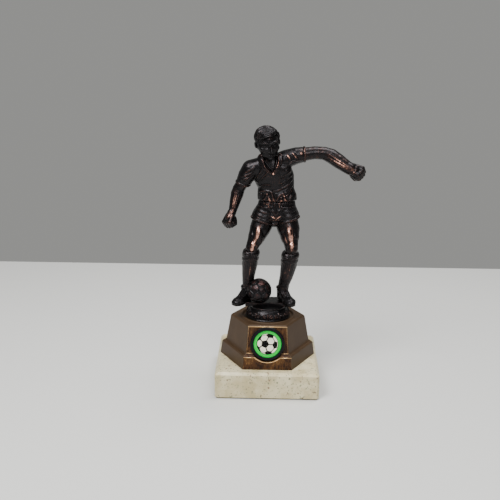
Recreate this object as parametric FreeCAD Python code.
"""Player trophy: a cast figure on a round pedestal, a hexagonal moulded plinth and a marble base.

Frame: millimetres, +Z up, the figure faces -Y, +X is the figure's left. The origin is the middle of the
felt's underside, on the axis of the tie rod that clamps the whole stack together.
"""
import FreeCAD, Part
import math
import os
from FreeCAD import Matrix, Vector

# Marble base and felt
BASE_SIDE = 75.0
FELT_SIDE = 72.6
FELT_THICK = 1.0
BASE_TOP = 20.0
BASE_CHAMFER = 1.8
BASE_CORNER = 1.5
RECESS_RADIUS = 11.0
RECESS_CEILING = 10.0
BASE_BORE = 3.5

# Hexagonal plinth, corners on +X and -X, radii are to the corners
STEP_TOP = 30.4
STEP_RADII = (35.7, 34.2)
PLINTH_TOP = 51.5
BODY_RADII = (31.2, 27.7)
TOP_CHAMFER = 1.1
FOOT_MOULD = 0.9
WALL = 2.4
TOP_WALL = 4.2
BOSS_RADIUS = 6.0
BOSS_BORE = 3.08
RIB_THICK = 1.6
DISH_RADIUS = 18.6
DISH_DEPTH = 0.8
BEAD_RADIUS = 19.7
BEAD_SECTION = 0.9
LINE_WIDTH = 0.7
LINE_PROUD = 0.35

# Centre disc on the front face
DISC_HEIGHT = 38.4
DISC_RADIUS = 12.35
DISC_INNER = 10.0
DISC_FLOOR = 0.8
DISC_RIM = 1.9
BACKING_RADIUS = 11.4
BACKING_THICK = 0.4
FOIL_THICK = 0.3
DOME_RISE = 0.75
NOTCH_RADIUS = 13.1

# Clamping hardware, M6
ROD_RADIUS = 3.0
ROD_BOTTOM = 2.2
ROD_TOP = 58.4
NUT_FLATS = 10.0
NUT_HEIGHT = 4.6
SPRING_WASHER = (3.1, 5.9, 1.4)
WASHER = (3.2, 9.0, 1.5)
INSERT_RADIUS = 4.6
INSERT_LENGTH = 8.2

# Pedestal and foot plate
PEDESTAL_RADIUS = 16.9
PEDESTAL_TOP = 59.2
SOLE = 62.0
PLATE_RADIUS = 17.4
PLATE_Y = (-4.9, 9.3)
BALL_RADIUS = 9.2
BALL_CENTRE = (-6.8, -4.6, SOLE + BALL_RADIUS + 0.1)

# The figure is made of castings that meet at level or upright faces and plug into each other
SHORTS_BOTTOM = 119.5
WAIST = 138.2
COLLAR = 172.4
RIGHT_ARMHOLE = -10.6
LEFT_ARMHOLE = 12.4
ARMHOLE_BOTTOM = 153.0
BOOT_TOP = SOLE + 10.4
PLUG_DEPTH = 5.0
# Half widths of the square plugs
LEG_PLUG = 3.4
ANKLE_PLUG = 2.2
ARM_PLUG = 2.6
WAIST_PLUG = 4.5
NECK_PLUG = 2.6

# Level sections: centre x, y, z, half width and half depth
SHIRT = (
    (5.4, 1.2, WAIST, 12.7, 8.2),
    (5.8, 1.0, 141.5, 14.3, 9.6),
    (5.2, 0.6, 146.0, 13.0, 8.4),
    (3.6, -0.4, 152.0, 13.8, 9.0),
    (2.2, -1.6, 158.5, 14.0, 9.4),
    (1.2, -2.4, 164.5, 13.4, 8.8),
    (-0.2, -3.0, 169.0, 10.4, 7.2),
    (-0.4, -3.6, COLLAR, 6.8, 6.0),
)
SHORTS = (
    (4.2, -0.6, SHORTS_BOTTOM, 14.6, 7.6),
    (4.3, 0.4, 123.5, 15.9, 8.6),
    (4.4, 1.0, 127.0, 15.6, 8.8),
    (5.0, 1.2, 132.5, 14.4, 8.6),
    (5.4, 1.2, WAIST, 12.2, 7.8),
)
HEAD = (
    (-0.2, -4.2, COLLAR, 5.2, 5.4),
    (-0.8, -5.6, 175.0, 5.8, 6.8),
    (-1.4, -7.0, 178.0, 7.6, 8.8),
    (-2.2, -7.4, 182.5, 8.7, 9.8),
    (-2.8, -6.8, 187.5, 7.4, 8.4),
    (-3.1, -6.4, 190.4, 4.6, 5.2),
    (-3.2, -6.4, 191.5, 1.2, 1.4),
)
# Limb sections: centre x, y, z and radius
RIGHT_LEG = (
    (-5.6, -1.2, SHORTS_BOTTOM, 7.2),
    (-8.6, -4.2, 113.0, 6.4),
    (-11.8, -7.3, 106.0, 4.7),
    (-12.6, -7.0, 102.0, 5.7),
    (-13.4, -4.4, 94.5, 5.5),
    (-14.2, -2.0, 83.0, 4.4),
    (-14.6, -1.0, BOOT_TOP, 3.8),
)
LEFT_LEG = (
    (13.2, -1.2, SHORTS_BOTTOM, 7.6),
    (14.8, -4.2, 113.0, 6.8),
    (16.1, -7.3, 106.0, 4.9),
    (16.1, -7.0, 102.0, 6.0),
    (15.4, -4.2, 93.5, 5.8),
    (13.6, -1.2, 82.5, 4.6),
    (11.9, 0.4, BOOT_TOP, 3.8),
)
RIGHT_ARM = (
    (RIGHT_ARMHOLE, -2.0, 162.4, 6.3),
    (-14.4, -1.6, 160.4, 6.2),
    (-16.4, -0.8, 155.4, 5.6),
    (-18.2, 0.2, 150.0, 4.9),
    (-20.6, 0.8, 145.4, 3.9),
    (-22.8, -0.6, 139.6, 3.8),
    (-25.9, -4.0, 131.0, 2.9),
    (-27.4, -5.8, 127.4, 4.7),
    (-28.6, -7.0, 124.2, 5.3),
    (-29.6, -7.8, 121.4, 4.4),
    (-30.2, -8.3, 119.6, 1.6),
)
LEFT_ARM = (
    (LEFT_ARMHOLE, -2.6, 168.6, 6.4),
    (17.5, -2.4, 170.8, 6.0),
    (24.5, -2.0, 172.2, 5.2),
    (31.0, -1.2, 173.2, 4.4),
    (38.0, -0.6, 173.0, 4.5),
    (46.0, -2.4, 169.8, 4.3),
    (54.6, -5.6, 165.2, 3.5),
    (58.4, -7.0, 163.0, 5.4),
    (61.6, -8.0, 161.0, 6.2),
    (65.0, -9.0, 159.2, 5.2),
    (67.2, -9.6, 158.0, 1.8),
)
RIGHT_BOOT = ((-13.0, 3.4), (-24.8, -11.4))
LEFT_BOOT = ((10.0, 6.2), (18.0, -12.6))
# Boot sections: share of the length, half width, height
BOOT_SECTIONS = (
    (0.00, 2.2, 6.5),
    (0.08, 3.4, 9.6),
    (0.30, 4.3, BOOT_TOP - SOLE + 0.2),
    (0.58, 4.2, 6.6),
    (0.82, 4.4, 5.0),
    (0.95, 3.4, 4.0),
    (1.00, 1.8, 2.6),
)


def cylinder(radius, low, high):
    """Upright cylinder on the rod's axis."""
    return Part.makeCylinder(radius, high - low, Vector(0, 0, low))


def box(half_x, half_y, low, high):
    """Upright box centred on the rod's axis."""
    return Part.makeBox(2 * half_x, 2 * half_y, high - low, Vector(-half_x, -half_y, low))


def hexagon(radius, height):
    """Hexagon wire with corners on the X axis."""
    angles = [math.radians(60 * i) for i in range(7)]
    return Part.makePolygon([Vector(radius * math.cos(a), radius * math.sin(a), height) for a in angles])


def taper(levels):
    """Hexagonal solid through (corner radius, height) levels."""
    wires = [hexagon(radius, height) for radius, height in levels]
    return Part.makeLoft(wires, True, True)


def section(centre, across, along, width, depth):
    """Elliptical wire: half width along `across`, half depth along `along`."""
    normal = across.cross(along)
    frame = Matrix(
        across.x * width, along.x * depth, normal.x, centre.x,
        across.y * width, along.y * depth, normal.y, centre.y,
        across.z * width, along.z * depth, normal.z, centre.z,
        0, 0, 0, 1,
    )
    return Part.Wire([Part.Circle().toShape().transformGeometry(frame)])


def trunk(stations):
    """Loft through level elliptical sections."""
    wires = [section(Vector(x, y, z), Vector(1, 0, 0), Vector(0, 1, 0), w, d) for x, y, z, w, d in stations]
    return Part.makeLoft(wires, True, False)


def limb(stations, start, end=None):
    """Loft through round sections that stand square to the line of their centres.

    The first section, and the last one where `end` is given, stand square to a stated direction instead.
    """
    points = [Vector(*station[:3]) for station in stations]
    last = len(points) - 1
    wires = []
    for i, (point, station) in enumerate(zip(points, stations)):
        tangent = points[min(i + 1, last)].sub(points[max(i - 1, 0)])
        if i == 0:
            tangent = start
        if i == last and end:
            tangent = end
        tangent = Vector(tangent).normalize()
        across = Vector(0, 1, 0).cross(tangent).normalize()
        wires.append(section(point, across, tangent.cross(across), station[3], station[3]))
    return Part.makeLoft(wires, True, False)


def plug(stations, direction, half):
    """Square plug that stands on a casting's first section and enters the neighbour behind it."""
    square = Part.makeBox(2 * half, 2 * half, PLUG_DEPTH, Vector(-half, -half, 0))
    turn = FreeCAD.Rotation(Vector(0, 0, 1), direction)
    square.Placement = FreeCAD.Placement(Vector(*stations[0][:3]), turn)
    return square


def fuse(first, *others):
    """One solid from overlapping ones."""
    return first.multiFuse(list(others)).removeSplitter()


def boot(ends):
    """Boot with a flat sole, lofted from heel to toe."""
    heel, toe = (Vector(x, y, SOLE) for x, y in ends)
    line = toe.sub(heel)
    across = Vector(0, 0, 1).cross(line).normalize()
    up = Vector(0, 0, 1)
    wires = [section(heel + line * share, across, up, half, height) for share, half, height in BOOT_SECTIONS]
    ground = Part.makeBox(80, 80, 20, Vector(-40, -40, SOLE - 20))
    return Part.makeLoft(wires, True, False).cut(ground)


def front_place(height):
    """Placement on the plinth's sloping front face, its Z axis out of the face, its Y axis up it."""
    flat = math.cos(math.radians(30))
    rise = PLINTH_TOP - STEP_TOP
    inset = (BODY_RADII[0] - BODY_RADII[1]) * flat
    lean = math.degrees(math.atan2(inset, rise))
    y = -(BODY_RADII[0] * flat - inset * (height - STEP_TOP) / rise)
    return FreeCAD.Placement(Vector(0, y, height), FreeCAD.Rotation(Vector(1, 0, 0), 90 - lean))


def on_front(shape):
    """Moves a shape built around the disc's centre onto the front face."""
    shape.Placement = front_place(DISC_HEIGHT)
    return shape


def felt_pad():
    return box(FELT_SIDE / 2, FELT_SIDE / 2, 0, FELT_THICK)


def marble_base():
    half = BASE_SIDE / 2
    block = box(half, half, FELT_THICK, BASE_TOP)
    upright = [e for e in block.Edges if abs(e.tangentAt(e.FirstParameter).z) > 0.9]
    block = block.makeChamfer(BASE_CORNER, upright)
    rim = [e for e in block.Edges if min(v.Z for v in e.Vertexes) > BASE_TOP - 0.01]
    block = block.makeChamfer(BASE_CHAMFER, rim)
    recess = cylinder(RECESS_RADIUS, 0, RECESS_CEILING)
    return block.cut(recess).cut(cylinder(BASE_BORE, 0, BASE_TOP + 1))


def base_washer():
    bore, outer, thick = WASHER
    low = RECESS_CEILING - thick
    return cylinder(outer, low, RECESS_CEILING).cut(cylinder(bore, low, RECESS_CEILING))


def spring_washer():
    """Split ring between the plain washer and the nut."""
    bore, outer, thick = SPRING_WASHER
    high = RECESS_CEILING - WASHER[2]
    ring = cylinder(outer, high - thick, high).cut(cylinder(bore, high - thick, high))
    slot = Part.makeBox(outer, 0.8, thick, Vector(0, -0.4, high - thick))
    return ring.cut(slot)


def base_nut():
    high = RECESS_CEILING - WASHER[2] - SPRING_WASHER[2]
    corner = NUT_FLATS / 2 / math.cos(math.radians(30))
    body = taper([(corner, high - NUT_HEIGHT), (corner, high)])
    rounding = Part.makeCone(corner - 0.7, corner + 1.6, NUT_HEIGHT, Vector(0, 0, high - NUT_HEIGHT))
    return body.common(rounding).cut(cylinder(ROD_RADIUS, 0, BASE_TOP))


def tie_rod():
    rod = cylinder(ROD_RADIUS, ROD_BOTTOM, ROD_TOP)
    return rod.makeChamfer(0.6, [e for e in rod.Edges if len(e.Vertexes) == 1])


def plinth_outside():
    """Stepped hexagonal outside with a small moulding at the foot of the upper body."""
    step = taper([(STEP_RADII[0], BASE_TOP), (STEP_RADII[1], STEP_TOP - 0.5), (STEP_RADII[1] - 0.6, STEP_TOP)])
    slope = (BODY_RADII[0] - BODY_RADII[1]) / (PLINTH_TOP - STEP_TOP)
    shoulder = PLINTH_TOP - TOP_CHAMFER
    body = taper([
        (BODY_RADII[0] + FOOT_MOULD, STEP_TOP - 1),
        (BODY_RADII[0] + FOOT_MOULD, STEP_TOP + 0.4),
        (BODY_RADII[0] - slope * (FOOT_MOULD + 0.4), STEP_TOP + FOOT_MOULD + 0.4),
        (BODY_RADII[1] + slope * TOP_CHAMFER, shoulder),
        (BODY_RADII[1] - TOP_CHAMFER, PLINTH_TOP),
    ])
    return step.fuse(body)


def front_lines():
    """Thin raised border on the front face, around the disc and along the step."""
    flat = math.cos(math.radians(30))
    low = STEP_TOP + 1.6 - DISC_HEIGHT
    high = PLINTH_TOP - TOP_CHAMFER - 0.2 - DISC_HEIGHT
    wide_low = BODY_RADII[0] / 2 - 1.6
    wide_high = BODY_RADII[1] / 2 - 0.7
    depth = 2 * LINE_PROUD
    outer = Part.makePolygon([Vector(-wide_low, low, 0), Vector(wide_low, low, 0), Vector(wide_high, high, 0),
                              Vector(-wide_high, high, 0), Vector(-wide_low, low, 0)])
    inner = outer.makeOffset2D(-LINE_WIDTH)
    frame = Part.Face(outer).cut(Part.Face(inner)).extrude(Vector(0, 0, depth))
    frame.translate(Vector(0, 0, -LINE_PROUD))
    frame = on_front(frame)
    half = STEP_RADII[1] / 2 - 0.6
    front = -STEP_RADII[1] * flat
    edge = Part.makeBox(2 * half, depth, LINE_WIDTH, Vector(-half, front - LINE_PROUD, STEP_TOP - 1.2))
    arc = Part.makeCylinder(NOTCH_RADIUS + LINE_WIDTH, 6).cut(Part.makeCylinder(NOTCH_RADIUS - 0.1, 6))
    arc = on_front(arc)
    below = Part.makeBox(60, 8, 9, Vector(-30, front - 4, STEP_TOP - 9.5))
    step = taper([(STEP_RADII[0] + LINE_PROUD, BASE_TOP), (STEP_RADII[1] + LINE_PROUD, STEP_TOP - 0.5)])
    arc = arc.common(below).common(step)
    return [frame, edge.cut(on_front(Part.makeCylinder(NOTCH_RADIUS, 8))), arc]


def plinth_shell():
    """Hollow moulding with a centre boss, ribs, a dished top, and a notch for the disc."""
    outside = plinth_outside()
    inside_step = taper([(STEP_RADII[0] - WALL, BASE_TOP - 1), (STEP_RADII[1] - WALL, STEP_TOP - WALL)])
    inside_body = taper([(BODY_RADII[0] - WALL, BASE_TOP), (BODY_RADII[1] - WALL, PLINTH_TOP - TOP_WALL)])
    cavity = inside_step.fuse(inside_body)
    boss = cylinder(BOSS_RADIUS, BASE_TOP, PLINTH_TOP - 1)
    ribs = []
    for i in range(3):
        rib = box(STEP_RADII[0], RIB_THICK / 2, BASE_TOP + 4, PLINTH_TOP - 1)
        rib.rotate(Vector(0, 0, 0), Vector(0, 0, 1), 30 + 60 * i)
        ribs.append(rib.common(outside))
    shell = outside.cut(cavity).multiFuse([boss] + ribs)
    bead = Part.makeTorus(BEAD_RADIUS, BEAD_SECTION, Vector(0, 0, PLINTH_TOP - 0.25))
    shell = shell.fuse(bead.common(cylinder(BEAD_RADIUS + 2, PLINTH_TOP - 0.6, PLINTH_TOP + 2)))
    shell = shell.multiFuse(front_lines())
    shell = shell.cut(cylinder(DISH_RADIUS, PLINTH_TOP - DISH_DEPTH, PLINTH_TOP + 2))
    shell = shell.cut(on_front(Part.makeCylinder(NOTCH_RADIUS, 8)))
    return shell.cut(cylinder(BOSS_BORE, 0, PLINTH_TOP + 1)).removeSplitter()


def disc_backing():
    return on_front(Part.makeCylinder(BACKING_RADIUS, BACKING_THICK))


def disc_holder():
    """Shallow round cup with a bevelled rim."""
    top = BACKING_THICK + DISC_RIM
    cup = Part.makeCylinder(DISC_RADIUS, DISC_RIM, Vector(0, 0, BACKING_THICK))
    rim = [e for e in cup.Edges if len(e.Vertexes) == 1 and e.Vertexes[0].Z > top - 0.01]
    cup = cup.makeChamfer(0.4, rim)
    well = Part.makeCylinder(DISC_INNER, DISC_RIM, Vector(0, 0, BACKING_THICK + DISC_FLOOR))
    return on_front(cup.cut(well))


def disc_foil():
    low = BACKING_THICK + DISC_FLOOR
    return on_front(Part.makeCylinder(DISC_INNER, FOIL_THICK, Vector(0, 0, low)))


def disc_dome():
    """Clear domed resin over the printed foil: a cylinder with a shallow spherical top."""
    low = BACKING_THICK + DISC_FLOOR + FOIL_THICK
    wall = 0.35
    radius = (DISC_INNER ** 2 + DOME_RISE ** 2) / (2 * DOME_RISE)
    ball = Part.makeSphere(radius, Vector(0, 0, low + wall + DOME_RISE - radius))
    return on_front(Part.makeCylinder(DISC_INNER, wall + DOME_RISE, Vector(0, 0, low)).common(ball))


def footplate():
    """Round pedestal with a banded side, and the bar that the boots stand on."""
    low = PLINTH_TOP - DISH_DEPTH
    r = PEDESTAL_RADIUS
    points = [Vector(0, 0, low), Vector(r, 0, low), Vector(r, 0, low + 1.4), Vector(r - 0.7, 0, low + 1.9),
              Vector(r - 0.4, 0, low + 2.4)]
    lines = [Part.makeLine(a, b) for a, b in zip(points, points[1:])]
    belly = Part.Arc(points[-1], Vector(r + 0.2, 0, low + 4.6), Vector(r - 1.0, 0, low + 6.6)).toShape()
    bead = Part.Arc(Vector(r - 1.0, 0, low + 6.6), Vector(r - 0.4, 0, low + 7.4),
                    Vector(r - 1.2, 0, low + 8.0)).toShape()
    upper = [Vector(r - 1.2, 0, low + 8.0), Vector(r - 3.0, 0, PEDESTAL_TOP), Vector(0, 0, PEDESTAL_TOP), points[0]]
    lines += [belly, bead] + [Part.makeLine(a, b) for a, b in zip(upper, upper[1:])]
    drum = Part.Face(Part.Wire(lines)).revolve(Vector(0, 0, 0), Vector(0, 0, 1), 360)
    plate = cylinder(PLATE_RADIUS, PEDESTAL_TOP - 0.4, SOLE)
    bar = Part.makeBox(60, PLATE_Y[1] - PLATE_Y[0], 10, Vector(-30, PLATE_Y[0], PEDESTAL_TOP - 1))
    solid = drum.fuse(plate.common(bar)).removeSplitter()
    insert = cylinder(INSERT_RADIUS, low, low + INSERT_LENGTH)
    return solid.cut(insert)


def thread_insert():
    low = PLINTH_TOP - DISH_DEPTH
    return cylinder(INSERT_RADIUS, low, low + INSERT_LENGTH).cut(cylinder(ROD_RADIUS, low, ROD_TOP))


def ball():
    return Part.makeSphere(BALL_RADIUS, Vector(*BALL_CENTRE))


def leg(stations, ends):
    """Leg and boot in one casting, with a plug that enters the shorts."""
    down = Vector(0, 0, -1)
    shank = fuse(limb(stations, down, down), plug(stations, -down, LEG_PLUG), plug(stations[::-1], down, ANKLE_PLUG))
    return fuse(shank, boot(ends))


def right_leg():
    return leg(RIGHT_LEG, RIGHT_BOOT).cut(ball())


def left_leg():
    return leg(LEFT_LEG, LEFT_BOOT)


def arm(stations, out):
    """Arm with its sleeve and closed hand, flat at the armhole, with a plug that enters the shirt."""
    side = 40.0
    shape = limb(stations, out)
    middle = stations[0][0] - out.x * side / 2
    inside = Part.makeBox(side, 2 * side, 2 * side, Vector(middle - side / 2, -side, SHIRT[0][2]))
    return fuse(shape.cut(inside), plug(stations, -out, ARM_PLUG))


def right_arm():
    return arm(RIGHT_ARM, Vector(-1, 0, 0))


def left_arm():
    return arm(LEFT_ARM, Vector(1, 0, 0))


def shorts():
    up = Vector(0, 0, 1)
    body = trunk(SHORTS).cut(plug(RIGHT_LEG, up, LEG_PLUG)).cut(plug(LEFT_LEG, up, LEG_PLUG))
    return fuse(body, plug(SHIRT, up, WAIST_PLUG))


def shirt():
    """Body of the shirt, with flat armholes and sockets for the waist, neck and arms."""
    body = trunk(SHIRT)
    side = 40.0
    for x in (RIGHT_ARMHOLE - side, LEFT_ARMHOLE):
        body = body.cut(Part.makeBox(side, side, side, Vector(x, -side / 2, ARMHOLE_BOTTOM)))
    body = body.cut(plug(SHIRT, Vector(0, 0, 1), WAIST_PLUG))
    body = body.cut(plug(HEAD, Vector(0, 0, -1), NECK_PLUG))
    for stations, inward in ((RIGHT_ARM, 1), (LEFT_ARM, -1)):
        body = body.cut(plug(stations, Vector(inward, 0, 0), ARM_PLUG))
    return body


def head():
    """Head and neck."""
    return fuse(trunk(HEAD), plug(HEAD, Vector(0, 0, -1), NECK_PLUG))


def main():
    makers = (felt_pad, marble_base, base_washer, spring_washer, base_nut, tie_rod, plinth_shell, disc_backing,
              disc_holder, disc_foil, disc_dome, footplate, thread_insert, ball, right_leg, left_leg, right_arm,
              left_arm, shorts, shirt, head)
    os.makedirs("parts", exist_ok=True)
    for maker in makers:
        name, shape = maker.__name__, maker()
        print(f"{name:14s} solids {len(shape.Solids)} valid {shape.isValid()} volume {shape.Volume:10.1f}")
        shape.exportStep(f"parts/{name}.step")


main()
